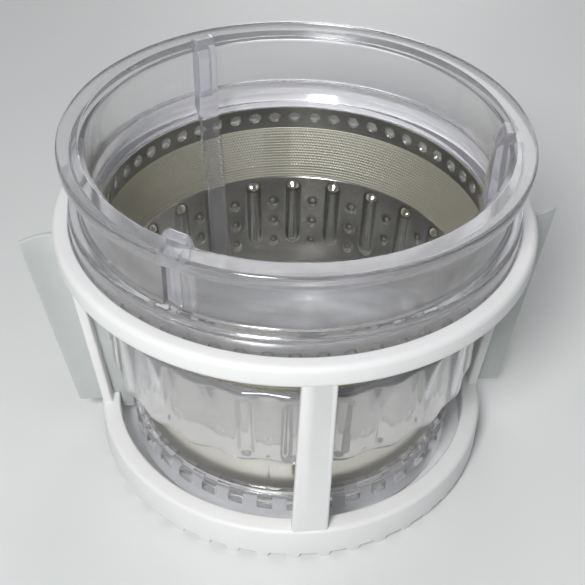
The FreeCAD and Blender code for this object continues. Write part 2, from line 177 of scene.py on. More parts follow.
class SleeveSizes(bpy.types.PropertyGroup):
    """Sizes of the stainless sleeve."""
    sheet: length("Sheet", "Thickness of the sheet", 0.5)
    top_radius: length("Top radius", "Inner radius at the border", 51.5)
    mesh_foot_radius: length("Mesh foot radius", "Inner radius at the pierced band's foot", 48.4)
    foot_radius: length("Foot radius", "Inner radius at the lower edge", 45.0)
    border_height: length("Border height", "Plain border with the studs", 6.8)
    mesh_height: length("Mesh height", "Height of the pierced band", 15.8)
    mesh_rows: IntProperty(name="Mesh rows", description="Rows of holes in the pierced band",
                           default=18, min=2)
    mesh_columns: IntProperty(name="Mesh columns", description="Holes in one row",
                              default=384, min=24)
    flute_length: length("Flute length", "Length of a pressed flute", 22.0)
    flute_width: length("Flute width", "Width of a pressed flute", 4.4)
    flute_depth: length("Flute depth", "Depth of a pressed flute", 1.4)
    flute_top_drop: length("Flute top drop", "Flute's head below the pierced band", 1.6)
    dimple_radius: length("Dimple radius", "Radius of a pressed dimple", 1.2)
    dimple_depth: length("Dimple depth", "Depth of a pressed dimple", 0.8)
    dimple_pitch: length("Dimple pitch", "Spacing of the dimples in a column", 7.1)
    dimple_top_drop: length("Dimple top drop", "First dimple below the pierced band", 9.0)
    seam_depth: length("Seam depth", "Depth of the sheet's welded seam under the flutes", 0.2)


class BandSizes(bpy.types.PropertyGroup):
    """Sizes of the clear band round the flutes."""
    wall: length("Wall", "Wall of the band", 2.2)
    shoulder: length("Shoulder", "Rounding of the band's upper outer edge", 1.9)
    rounding: length("Rounding", "Rounding of the band's lower outer edge", 0.9)
    wave: length("Wave", "Depth of the shallow flutes outside the band", 0.7)
    scallop: length("Scallop", "Rise of the lower edge between the flutes", 0.8)


class BaseSizes(bpy.types.PropertyGroup):
    """Sizes of the clear base."""
    wall: length("Wall", "Wall of the base", 2.5)
    foot_height: length("Foot height", "Height of the foot", 12.0)
    foot_proud: length("Foot proud", "Foot outside the wall", 2.1)
    foot_wall: length("Foot wall", "Wall of the foot", 2.2)
    slot_width: length("Slot width", "Width of a slot in the foot", 4.2)
    slot_height: length("Slot height", "Height of a slot in the foot", 3.2)
    slot_lift: length("Slot lift", "Slot's lower edge above the foot's", 6.2)
    floor: length("Floor", "Thickness of the floor", 2.5)
    bore_radius: length("Bore radius", "Radius of the auger's bore", MOUNTS["auger_bore"]["dims"]["r_mm"])
    boss_wall: length("Boss wall", "Wall round the bore", 3.0)
    boss_above: length("Boss above", "Boss above the floor", 6.0)
    boss_below: length("Boss below", "Boss below the floor", 3.5)
    port_inner: length("Port inner radius", "Inner radius of the pulp port", 26.0)
    port_outer: length("Port outer radius", "Outer radius of the pulp port", 36.0)


class CarrierSizes(bpy.types.PropertyGroup):
    """Sizes of the white frame and its wipers."""
    tooth_height: length("Tooth height", "Height of a crown tooth", 2.4)
    tooth_root: length("Tooth root", "Width of a tooth at the flange", 4.6)
    tooth_tip: length("Tooth tip", "Width of a tooth at its tip", 2.8)
    tooth_inset: length("Tooth inset", "Tooth's end inside the flange's edge", 0.6)
    tooth_length: length("Tooth length", "Length of a tooth along the radius", 4.0)
    tooth_rounding: length("Tooth rounding", "Rounding of a tooth's edges", 0.4)
    flange_height: length("Flange height", "Height of the lower flange", 9.3)
    flange_width: length("Flange width", "Width of the lower flange", 5.25)
    flange_gap: length("Flange gap", "Flange to the strainer's foot", 4.3)
    ring_height: length("Ring height", "Height of the upper ring", 6.2)
    lip_thickness: length("Lip thickness", "Seat inside the upper ring", 2.6)
    strut_thickness: length("Strut thickness", "Thickness of a strut", 2.8)
    strut_top: length("Strut top width", "Width of a strut at the ring", 8.3)
    strut_foot: length("Strut foot width", "Width of a strut at the flange", 9.8)
    strut_inset: length("Strut inset", "Strut's face inside the ring's edge", 0.5)
    strut_rounding: length("Strut rounding", "Rounding of a strut's edges", 0.7)
    wiper_thickness: length("Wiper thickness", "Thickness of a silicone blade", 1.5)
    wiper_rounding: length("Wiper rounding", "Rounding of a blade's edges", 0.25)
    wiper_top_radius: length("Wiper top radius", "Outer blade's reach at its top", 72.7)
    wiper_foot_radius: length("Wiper foot radius", "Outer blade's reach at its foot", 63.3)
    wiper_foot_drop: length("Wiper foot drop", "Outer blade's foot below the flange's top", 2.1)
    wiper_inner_drop: length("Inner blade drop", "Inner blade's top below the ring", 5.4)
    wiper_lean: length("Wiper lean", "Sideways lean of the outer blade's free corner", 3.6)
    slot_margin: length("Slot margin", "Strut's slot from the flange and the inner blade's top", 6.0)


class Finishes(bpy.types.PropertyGroup):
    """Colours of the finishes."""
    clear: colour("Clear plastic", "Tint of the clear mouldings", "#f2f2f4")
    clear_milky: colour("Clear plastic, milky", "Tint of the thick lugs", "#e6e6ed")
    # Darker tint of the stud tips: painted shade, as the tips look dark inside the collar
    clear_dull: colour("Clear plastic, dull", "Tint of the stud tips", "#b4b4ae")
    collar_shade: colour("Collar, shade", "Light that a face of the collar lets through", "#b4b4b7")
    thin_shade: colour("Band and base, shade", "Light that a face of them lets through", "#d8d8da")
    steel: colour("Stainless", "Rolled stainless sheet", "#d8d7d1")
    steel_dull: colour("Stainless, dull", "Duller streaks of the sheet", "#cfcdc4")
    # Darker, yellower tint of the pierced band: painted shade of the sleeve's inside
    steel_etched: colour("Stainless, etched", "Sheet between the fine holes", "#c5c2ad")
    white: colour("White plastic", "Moulded white frame", "#ebebeb")
    white_shade: colour("White plastic, shaded", "Faint flow marks of the white frame", "#e4e4e4")
    silicone: colour("Silicone", "Translucent silicone", "#c9cccb")
    silicone_cloud: colour("Silicone, cloudy", "Cloudier parts of the silicone", "#bfc4c2")
    floor: colour("Floor", "Plain pale floor", "#e4e5e5")
    floor_mottle: colour("Floor, mottled", "Faint mottle of the floor", "#dfe0e0")


class Strainer(bpy.types.PropertyGroup):
    """All the settings of the strainer."""
    collar: PointerProperty(type=CollarSizes)
    sleeve: PointerProperty(type=SleeveSizes)
    band: PointerProperty(type=BandSizes)
    base: PointerProperty(type=BaseSizes)
    carrier: PointerProperty(type=CarrierSizes)
    finishes: PointerProperty(type=Finishes)


def settings():
    """The scene's settings."""
    return bpy.context.scene.strainer


def heights():
    """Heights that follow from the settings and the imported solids."""
    collar = settings().collar
    sleeve = settings().sleeve
    carrier = settings().carrier
    rim_top = LUG_TOP - collar.lug_hump
    rim_bottom = rim_top - collar.rim_height
    ledge_top = rim_bottom - collar.neck_height
    ledge_bottom = ledge_top - collar.ledge_height
    border_bottom = SLEEVE_TOP - sleeve.border_height
    ring_bottom = RING_TOP - carrier.ring_height
    return SimpleNamespace(
        rim_top=rim_top,
        rim_bottom=rim_bottom,
        ledge_top=ledge_top,
        ledge_bottom=ledge_bottom,
        skirt_bottom=ledge_bottom - collar.skirt_drop,
        border_bottom=border_bottom,
        mesh_bottom=border_bottom - sleeve.mesh_height,
        foot_top=BASE_BOTTOM + settings().base.foot_height,
        flange_bottom=carrier.tooth_height,
        flange_top=carrier.tooth_height + carrier.flange_height,
        ring_bottom=ring_bottom,
        lip_top=ring_bottom + carrier.lip_thickness,
        inner_blade_top=ring_bottom - carrier.wiper_inner_drop,
    )


def radii():
    """Radii that follow from the settings."""
    collar = settings().collar
    sleeve = settings().sleeve
    base = settings().base
    carrier = settings().carrier
    skirt_inner = sleeve.top_radius + sleeve.sheet + FIT_GAP
    skirt_outer = skirt_inner + collar.skirt_wall
    band_inner = sleeve_inner(BAND_TOP) + sleeve.sheet + FIT_GAP
    base_outer = sleeve.foot_radius - FIT_GAP
    foot_outer = base_outer + base.foot_proud
    flange_inner = foot_outer + carrier.flange_gap
    return SimpleNamespace(
        neck_outer=collar.mouth_radius + collar.neck_wall,
        skirt_inner=skirt_inner,
        skirt_outer=skirt_outer,
        lip_inner=skirt_outer + RUN_GAP,
        ring_inner=collar.ledge_radius + RUN_GAP,
        ring_outer=RING_OUTER,
        band_inner=band_inner,
        band_outer=band_inner + settings().band.wall,
        base_outer=base_outer,
        base_inner=base_outer - base.wall,
        foot_outer=foot_outer,
        flange_inner=flange_inner,
        flange_outer=flange_inner + carrier.flange_width,
    )


def sleeve_inner(height):
    """Inner radius of the sleeve at a height: a straight border and two cones."""
    sleeve = settings().sleeve
    place = heights()
    mesh_share = min(max((place.border_bottom - height) / sleeve.mesh_height, 0.0), 1.0)
    flute_share = max((place.mesh_bottom - height) / (place.mesh_bottom - SLEEVE_BOTTOM), 0.0)
    mesh_taper = sleeve.top_radius - sleeve.mesh_foot_radius
    flute_taper = sleeve.mesh_foot_radius - sleeve.foot_radius
    return sleeve.top_radius - mesh_share * mesh_taper - flute_share * flute_taper


def strut_outer(height):
    """Radius of a strut's outer face at a height."""
    carrier = settings().carrier
    place = heights()
    foot = radii().flange_outer - carrier.strut_inset
    head = radii().ring_outer - carrier.strut_inset
    share = (height - place.flange_top) / (place.ring_bottom - place.flange_top)
    return foot + share * (head - foot)


def azimuths(count, first=0.0):
    """Evenly spaced azimuths in radians."""
    return [first + FULL_TURN * index / count for index in range(count)]


def about_axis(azimuth):
    """Matrix of a turn about the strainer's axis."""
    return Matrix.Rotation(azimuth, 4, "Z")


def profile(corners, segments=4):
    """Closed loop of edges in the XZ plane; each corner is radius, height and rounding."""
    mesh = bmesh.new()
    verts = [mesh.verts.new((radius, 0.0, height)) for radius, height, _ in corners]
    for index, vert in enumerate(verts):
        mesh.edges.new((vert, verts[(index + 1) % len(verts)]))
    for vert, (_, _, rounding) in zip(verts, corners):
        if rounding:
            first, last = (edge.other_vert(vert).co - vert.co for edge in vert.link_edges)
            reach = rounding / math.tan(first.angle(last) / 2)
            bmesh.ops.bevel(mesh, geom=[vert], offset=reach, offset_type="OFFSET", segments=segments,
                            profile=0.5, affect="VERTICES", material=-1, clamp_overlap=False)
    return mesh


def round_edges(mesh, edges, rounding):
    """Rounds some edges of a shape."""
    bmesh.ops.bevel(mesh, geom=edges, offset=rounding, offset_type="OFFSET", segments=EDGE_STEPS,
                    profile=0.5, affect="EDGES", material=-1)


def weld(mesh):
    """Closes the seams of a shape and turns its faces outwards."""
    bmesh.ops.remove_doubles(mesh, verts=mesh.verts[:], dist=WELD)
    bmesh.ops.recalc_face_normals(mesh, faces=mesh.faces[:])


def turn(mesh, azimuth):
    """Turns a shape about the strainer's axis."""
    bmesh.ops.rotate(mesh, verts=mesh.verts[:], cent=(0, 0, 0), matrix=about_axis(azimuth))


def cut_faces(mesh, place, normal):
    """Divides the faces that a plane passes through, and keeps both sides."""
    bmesh.ops.bisect_plane(mesh, geom=mesh.verts[:] + mesh.edges[:] + mesh.faces[:],
                           plane_co=place, plane_no=normal)


def spun_ring(corners, steps=ROUND_STEPS, segments=4):
    """Ring turned from a profile."""
    mesh = profile(corners, segments)
    bmesh.ops.spin(mesh, geom=mesh.verts[:] + mesh.edges[:], cent=(0, 0, 0), axis=(0, 0, 1),
                   angle=FULL_TURN, steps=steps, use_merge=True)
    weld(mesh)
    return mesh


def spun_block(corners, angle, azimuth, steps=6, rounding=0.0):
    """Part of a ring, closed at both ends and centred on an azimuth; the rounding is at both ends."""
    mesh = profile(corners, EDGE_STEPS)
    bmesh.ops.contextual_create(mesh, geom=mesh.edges[:])
    bmesh.ops.spin(mesh, geom=mesh.verts[:] + mesh.edges[:] + mesh.faces[:], cent=(0, 0, 0),
                   axis=(0, 0, 1), angle=angle, steps=steps)
    weld(mesh)
    if rounding:
        ends = [face for face in mesh.faces if len(face.verts) > 4]
        round_edges(mesh, [edge for face in ends for edge in face.edges], rounding)
    turn(mesh, azimuth - angle / 2)
    return mesh


def plain_corners(inner, outer, bottom, top):
    """Corners of a plain rectangle in a profile."""
    return [(inner, bottom, 0), (outer, bottom, 0), (outer, top, 0), (inner, top, 0)]


def tapered_block(lower, upper, bottom, top, rounding=0.0):
    """Block between two rectangles, each of inner radius, outer radius and width, at azimuth 0."""
    mesh = bmesh.new()
    bmesh.ops.create_cube(mesh, size=1.0)
    for vert in mesh.verts:
        inner, outer, width = upper if vert.co.z > 0 else lower
        radius = outer if vert.co.x > 0 else inner
        height = top if vert.co.z > 0 else bottom
        vert.co = Vector((radius, math.copysign(width / 2, vert.co.y), height))
    if rounding:
        round_edges(mesh, mesh.edges[:], rounding)
    return mesh


def plate(corners, thickness, rounding):
    """Flat plate from corners of radius and height, at azimuth 0."""
    mesh = bmesh.new()
    face = mesh.faces.new([mesh.verts.new((r, -thickness / 2, z)) for r, z in corners])
    raised = bmesh.ops.extrude_face_region(mesh, geom=[face], use_keep_orig=True)
    moved = [item for item in raised["geom"] if isinstance(item, bmesh.types.BMVert)]
    bmesh.ops.translate(mesh, verts=moved, vec=(0, thickness, 0))
    bmesh.ops.recalc_face_normals(mesh, faces=mesh.faces[:])
    round_edges(mesh, mesh.edges[:], rounding)
    return mesh


def radial_pin(inner, outer, radius):
    """Round pin along the radius at azimuth 0, at the height of the studs."""
    mesh = bmesh.new()
    middle = Matrix.Translation(((inner + outer) / 2, 0, SLEEVE_TOP - settings().collar.stud_drop))
    bmesh.ops.create_cone(mesh, cap_ends=True, segments=STUD_SIDES, radius1=radius, radius2=radius,
                          depth=outer - inner, matrix=middle @ Matrix.Rotation(math.pi / 2, 4, "Y"))
    return mesh


def repeated(shape, turns):
    """One mesh that holds a shape at each azimuth; the shape is used up."""
    pattern = bpy.data.meshes.new("pattern")
    shape.to_mesh(pattern)
    shape.free()
    whole = bmesh.new()
    for azimuth in turns:
        turned = pattern.copy()
        turned.transform(about_axis(azimuth))
        whole.from_mesh(turned)
        bpy.data.meshes.remove(turned)
    bpy.data.meshes.remove(pattern)
    return whole


def new_object(name, shape, *materials):
    """Object at the origin, in one or more finishes, from a mesh that is then used up."""
    mesh = bpy.data.meshes.new(name)
    shape.to_mesh(mesh)
    shape.free()
    for material in materials:
        mesh.materials.append(material)
    piece = bpy.data.objects.new(name, mesh)
    bpy.context.scene.collection.objects.link(piece)
    return piece


def combine(piece, shape, operation, *materials):
    """Joins a shape to a piece or cuts it out; the shape's faces may have finishes of their own."""
    tool = new_object("tool", shape, *materials)
    modifier = piece.modifiers.new("combine", "BOOLEAN")
    modifier.operation = operation
    modifier.solver = "EXACT"
    modifier.material_mode = "TRANSFER"
    modifier.object = tool
    graph = bpy.context.evaluated_depsgraph_get()
    made = bpy.data.meshes.new_from_object(piece.evaluated_get(graph))
    piece.modifiers.clear()
    old = piece.data
    name = old.name
    piece.data = made
    bpy.data.meshes.remove(old)
    made.name = name
    tool_mesh = tool.data
    bpy.data.objects.remove(tool)
    bpy.data.meshes.remove(tool_mesh)


def dress(piece, body, slot, *nodes, sharp_angle=32.0):
    """Shades a piece, with edges sharp past an angle in degrees, and puts it in its solids' place."""
    piece.data.shade_smooth()
    piece.data.set_sharp_from_angle(angle=math.radians(sharp_angle))
    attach(piece, body)
    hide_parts(*nodes)


def add_node(tree, kind, inputs, **options):
    """Adds a node, sets its options and fills or links its inputs."""
    node = tree.nodes.new(kind)
    for option, value in options.items():
        setattr(node, option, value)
    for socket, value in inputs.items():
        if isinstance(value, bpy.types.NodeSocket):
            tree.links.new(value, node.inputs[socket])
        else:
            node.inputs[socket].default_value = value
    return node


def new_material(name):
    """Empty node material and its tree."""
    material = bpy.data.materials.new(name)
    material.use_nodes = True
    material.node_tree.nodes.clear()
    return material, material.node_tree


def polycarbonate(name, tint, shade, least_haze, most_haze, clearness):
    """Moulded polycarbonate with a faint waviness; light from the lamps passes through it."""
    material, tree = new_material(name)
    waviness_mm = 9.0
    # Lower than the plastic's own 1.58, so that what lies behind the walls is bent less
    refractive_index = 1.45
    place = add_node(tree, "ShaderNodeTexCoord", {})
    flow = add_node(tree, "ShaderNodeTexNoise", {
        "Vector": place.outputs["Object"], "Scale": 1 / (waviness_mm * MM), "Detail": 2.0})
    bump = add_node(tree, "ShaderNodeBump", {
        "Height": flow.outputs["Fac"], "Strength": 0.10, "Distance": 0.4 * MM})
    haze = add_node(tree, "ShaderNodeMapRange", {
        "Value": flow.outputs["Fac"], "To Min": least_haze, "To Max": most_haze})
    shader = add_node(tree, "ShaderNodeBsdfPrincipled", {
        "Base Color": tint, "Roughness": haze.outputs["Result"], "IOR": refractive_index,
        "Transmission Weight": clearness, "Coat Weight": 0.8, "Coat Roughness": 0.02,
        "Normal": bump.outputs["Normal"]})
    ray = add_node(tree, "ShaderNodeLightPath", {})
    lit_through = add_node(tree, "ShaderNodeBsdfTransparent", {"Color": shade})
    mixed = add_node(tree, "ShaderNodeMixShader", {
        "Fac": ray.outputs["Is Shadow Ray"], FIRST_SHADER: shader.outputs["BSDF"],
        SECOND_SHADER: lit_through.outputs["BSDF"]})
    add_node(tree, "ShaderNodeOutputMaterial", {"Surface": mixed.outputs["Shader"]})
    return material


def polished_polycarbonate():
    """Clear polycarbonate from a polished mould, slightly clouded by use."""
    finishes = settings().finishes
    return polycarbonate("polished_polycarbonate", finishes.clear, finishes.collar_shade,
                         least_haze=0.08, most_haze=0.16, clearness=0.94)


def thin_polycarbonate():
    """The same plastic in the thinner band and base, which let more light through."""
    finishes = settings().finishes
    return polycarbonate("thin_polycarbonate", finishes.clear, finishes.thin_shade,
                         least_haze=0.04, most_haze=0.09, clearness=0.91)


def milky_polycarbonate():
    """The thick lugs of the same plastic, worn matt: milky, with soft edges."""
    finishes = settings().finishes
    return polycarbonate("milky_polycarbonate", finishes.clear_milky, finishes.collar_shade,
                         least_haze=0.14, most_haze=0.26, clearness=0.80)


def stud_polycarbonate_painted_shade():
    """The stud tips of the same plastic, rougher and less clear, with a darker tint that paints the shade
    seen in them.
    """
    finishes = settings().finishes
    return polycarbonate("stud_polycarbonate_painted_shade", finishes.clear_dull, finishes.collar_shade,
                         least_haze=0.18, most_haze=0.28, clearness=0.85)


def stainless(name, tint, least_haze, most_haze):
    """Cold-rolled stainless sheet: fine streaks along the roll and a soft sheen."""
    material, tree = new_material(name)
    # Real rolling marks are finer; these are as wide as they need to be to show
    streak_mm = 0.5
    width_over_length = 0.06
    place = add_node(tree, "ShaderNodeTexCoord", {})
    stretch = add_node(tree, "ShaderNodeMapping", {
        "Vector": place.outputs["Object"], "Scale": (1.0, 1.0, width_over_length)})
    streaks = add_node(tree, "ShaderNodeTexNoise", {
        "Vector": stretch.outputs["Vector"], "Scale": 1 / (streak_mm * MM), "Detail": 3.0})
    tone = add_node(tree, "ShaderNodeMix", {
        "Factor": streaks.outputs["Fac"], FIRST_COLOUR: tint,
        SECOND_COLOUR: settings().finishes.steel_dull}, data_type="RGBA")
    gloss = add_node(tree, "ShaderNodeMapRange", {
        "Value": streaks.outputs["Fac"], "To Min": least_haze, "To Max": most_haze})
    bump = add_node(tree, "ShaderNodeBump", {
        "Height": streaks.outputs["Fac"], "Strength": 0.03, "Distance": 0.05 * MM})
    shader = add_node(tree, "ShaderNodeBsdfPrincipled", {
        "Base Color": tone.outputs[MIXED_COLOUR], "Metallic": 1.0, "Roughness": gloss.outputs["Result"],
        "Normal": bump.outputs["Normal"]})
    add_node(tree, "ShaderNodeOutputMaterial", {"Surface": shader.outputs["BSDF"]})
    return material


def rolled_stainless():
    """Stainless sheet as it leaves the rolls and the press."""
    return stainless("rolled_stainless", settings().finishes.steel, least_haze=0.13, most_haze=0.20)


def etched_stainless_painted_shade():
    """Stainless sheet made matt by the etching of its fine holes, with a darker, yellower tint that paints
    the olive shade of the sleeve's inside.
    """
    return stainless("etched_stainless_painted_shade", settings().finishes.steel_etched, least_haze=0.48, most_haze=0.60)


def moulded_white_plastic():
    """White injection-moulded acetal: satin, slightly waxy, with faint flow marks."""
    material, tree = new_material("moulded_white_plastic")
    flow_mm = 14.0
    # The mould's grain is finer; this is as coarse as it needs to be to show
    grain_mm = 0.4
    place = add_node(tree, "ShaderNodeTexCoord", {})
    flow = add_node(tree, "ShaderNodeTexNoise", {
        "Vector": place.outputs["Object"], "Scale": 1 / (flow_mm * MM), "Detail": 3.0})
    grain = add_node(tree, "ShaderNodeTexNoise", {
        "Vector": place.outputs["Object"], "Scale": 1 / (grain_mm * MM), "Detail": 2.0})
    tone = add_node(tree, "ShaderNodeMix", {
        "Factor": flow.outputs["Fac"], FIRST_COLOUR: settings().finishes.white,
        SECOND_COLOUR: settings().finishes.white_shade}, data_type="RGBA")
    gloss = add_node(tree, "ShaderNodeMapRange", {
        "Value": flow.outputs["Fac"], "To Min": 0.34, "To Max": 0.46})
    bump = add_node(tree, "ShaderNodeBump", {
        "Height": grain.outputs["Fac"], "Strength": 0.05, "Distance": 0.05 * MM})
    shader = add_node(tree, "ShaderNodeBsdfPrincipled", {
        "Base Color": tone.outputs[MIXED_COLOUR], "Roughness": gloss.outputs["Result"], "IOR": 1.48,
        "Subsurface Weight": 0.15, "Subsurface Radius": (1.0, 1.0, 0.9), "Subsurface Scale": 0.8 * MM,
        "Normal": bump.outputs["Normal"]})
    add_node(tree, "ShaderNodeOutputMaterial", {"Surface": shader.outputs["BSDF"]})
    return material


def translucent_silicone():
    """Moulded silicone rubber: soft sheen, milky and slightly see-through."""
    material, tree = new_material("translucent_silicone")
    cloud_mm = 6.0
    place = add_node(tree, "ShaderNodeTexCoord", {})
    cloud = add_node(tree, "ShaderNodeTexNoise", {
        "Vector": place.outputs["Object"], "Scale": 1 / (cloud_mm * MM), "Detail": 3.0})
    tone = add_node(tree, "ShaderNodeMix", {
        "Factor": cloud.outputs["Fac"], FIRST_COLOUR: settings().finishes.silicone,
        SECOND_COLOUR: settings().finishes.silicone_cloud}, data_type="RGBA")
    gloss = add_node(tree, "ShaderNodeMapRange", {
        "Value": cloud.outputs["Fac"], "To Min": 0.42, "To Max": 0.58})
    shader = add_node(tree, "ShaderNodeBsdfPrincipled", {
        "Base Color": tone.outputs[MIXED_COLOUR], "Roughness": gloss.outputs["Result"], "IOR": 1.41,
        "Subsurface Weight": 0.5, "Subsurface Radius": (1.0, 1.0, 1.0), "Subsurface Scale": 2.0 * MM,
        "Transmission Weight": 0.06})
    add_node(tree, "ShaderNodeOutputMaterial", {"Surface": shader.outputs["BSDF"]})
    return material


def pale_floor():
    """Matt pale table top with a barely visible mottle."""
    material, tree = new_material("pale_floor")
    mottle_mm = 60.0
    place = add_node(tree, "ShaderNodeTexCoord", {})
    mottle = add_node(tree, "ShaderNodeTexNoise", {
        "Vector": place.outputs["Object"], "Scale": 1 / (mottle_mm * MM), "Detail": 4.0})
    tone = add_node(tree, "ShaderNodeMix", {
        "Factor": mottle.outputs["Fac"], FIRST_COLOUR: settings().finishes.floor,
        SECOND_COLOUR: settings().finishes.floor_mottle}, data_type="RGBA")
    shader = add_node(tree, "ShaderNodeBsdfPrincipled", {
        "Base Color": tone.outputs[MIXED_COLOUR], "Roughness": 0.6})
    add_node(tree, "ShaderNodeOutputMaterial", {"Surface": shader.outputs["BSDF"]})
    return material


def shared_material(make):
    """The material that a function makes, made once."""
    found = bpy.data.materials.get(make.__name__)
    return found or make()


class STRAINER_OT_collar(bpy.types.Operator):
    """Make the clear collar with its ribs and studs."""
    bl_idname = "strainer.collar"
    bl_label = "Clear Collar"

    def shell(self):
        """Rim, neck, ledge and skirt."""
        collar = settings().collar
        place = heights()
        radius = radii()
        sleeve_seat = SLEEVE_TOP + FIT_GAP
        cap_top = sleeve_seat + collar.cap_lip
        top_radius = settings().sleeve.top_radius
        return spun_ring([
            (collar.mouth_radius + collar.mouth_chamfer, place.rim_top, 0.3 * MM),
            (collar.rim_radius, place.rim_top, 0.9 * MM),
            (collar.rim_radius, place.rim_bottom, 0.7 * MM),
            (radius.neck_outer, place.rim_bottom, 0.8 * MM),
            (radius.neck_outer, place.ledge_top, 0.8 * MM),
            (collar.ledge_radius, place.ledge_top, 1.4 * MM),
            (collar.ledge_radius, place.ledge_bottom, 0.4 * MM),
            (radius.skirt_outer, place.ledge_bottom, 0.3 * MM),
            (radius.skirt_outer, place.skirt_bottom, 0.5 * MM),
            (radius.skirt_inner, place.skirt_bottom, 0.2 * MM),
            (radius.skirt_inner, sleeve_seat, 0),
            (top_radius, sleeve_seat, 0.1 * MM),
            (top_radius, cap_top, 0.2 * MM),
            (collar.mouth_radius, cap_top + collar.cap_lip, 0.8 * MM),
            (collar.mouth_radius, place.rim_top - collar.mouth_chamfer, 0.3 * MM),
        ])

    def rib(self):
        """One rib at azimuth 0, with its lug."""
        collar = settings().collar
        place = heights()
        foot = BASE_TOP + FIT_GAP
        top_radius = settings().sleeve.top_radius
        mesh_foot = settings().sleeve.mesh_foot_radius
        anchor = collar.mouth_radius + collar.neck_wall / 2
        hump = LUG_TOP - TRIM
        shape = spun_block([
            (anchor, place.rim_top, 0),
            (collar.mouth_radius + collar.mouth_chamfer, hump, 0.7 * MM),
            (collar.mouth_radius - collar.lug_hump, hump, 1.0 * MM),
            (collar.mouth_radius - collar.lug_depth, place.rim_bottom, 0.6 * MM),
            (top_radius - collar.rib_depth, place.border_bottom, 0),
            (mesh_foot - collar.rib_depth, place.mesh_bottom, 0),
            (sleeve_inner(foot) - collar.rib_depth, foot, 0.5 * MM),
            (sleeve_inner(foot) - FIT_GAP, foot, 0),
            (mesh_foot - FIT_GAP, place.mesh_bottom, 0),
            (top_radius - FIT_GAP, place.border_bottom, 0),
            (top_radius - FIT_GAP, SLEEVE_TOP + FIT_GAP, 0),
            (anchor, SLEEVE_TOP + 2 * FIT_GAP, 0),
        ], collar.rib_width / collar.mouth_radius, 0.0, rounding=collar.rib_rounding)
        # Faces above the lug's foot take the second finish
        lug_foot = SLEEVE_TOP + collar.cap_lip
        cut_faces(shape, (0, 0, lug_foot), (0, 0, 1))
        for face in shape.faces:
            face.material_index = int(face.calc_center_median().z > lug_foot)
        return shape

    def stud(self):
        """One stud at azimuth 0, with its hollow tip."""
        collar = settings().collar
        tip = settings().sleeve.top_radius - collar.stud_proud
        root = radii().skirt_inner + collar.skirt_wall / 2
        mesh = radial_pin(tip, root, collar.stud_radius)
        end = min(mesh.faces, key=lambda face: face.calc_center_median().x)
        bmesh.ops.inset_individual(mesh, faces=[end], thickness=collar.stud_rim)
        bmesh.ops.translate(mesh, verts=end.verts[:], vec=(collar.stud_hollow, 0, 0))
        return mesh

    def execute(self, context):
        collar = settings().collar
        place = heights()
        radius = radii()
        ribs = azimuths(RIB_COUNT, RIB_AZIMUTH)
        groove = plain_corners(radius.neck_outer - collar.groove_depth, collar.rim_radius,
                               place.ledge_top, place.rim_bottom)
        groove = spun_block(groove, collar.groove_width / radius.neck_outer, 0.0)
        clear = shared_material(polished_polycarbonate)
        piece = new_object("clear_collar", self.shell(), clear)
        combine(piece, repeated(groove, ribs), "DIFFERENCE")
        combine(piece, repeated(self.rib(), ribs), "UNION", clear, shared_material(milky_polycarbonate))
        studs = repeated(self.stud(), azimuths(STUD_COUNT, STUD_AZIMUTH))
        # The stud tips get the darker tint of painted shade
        combine(piece, studs, "UNION", shared_material(stud_polycarbonate_painted_shade))
        dress(piece, "strainer", "clear_plastic", "top_collar")
        return {"FINISHED"}


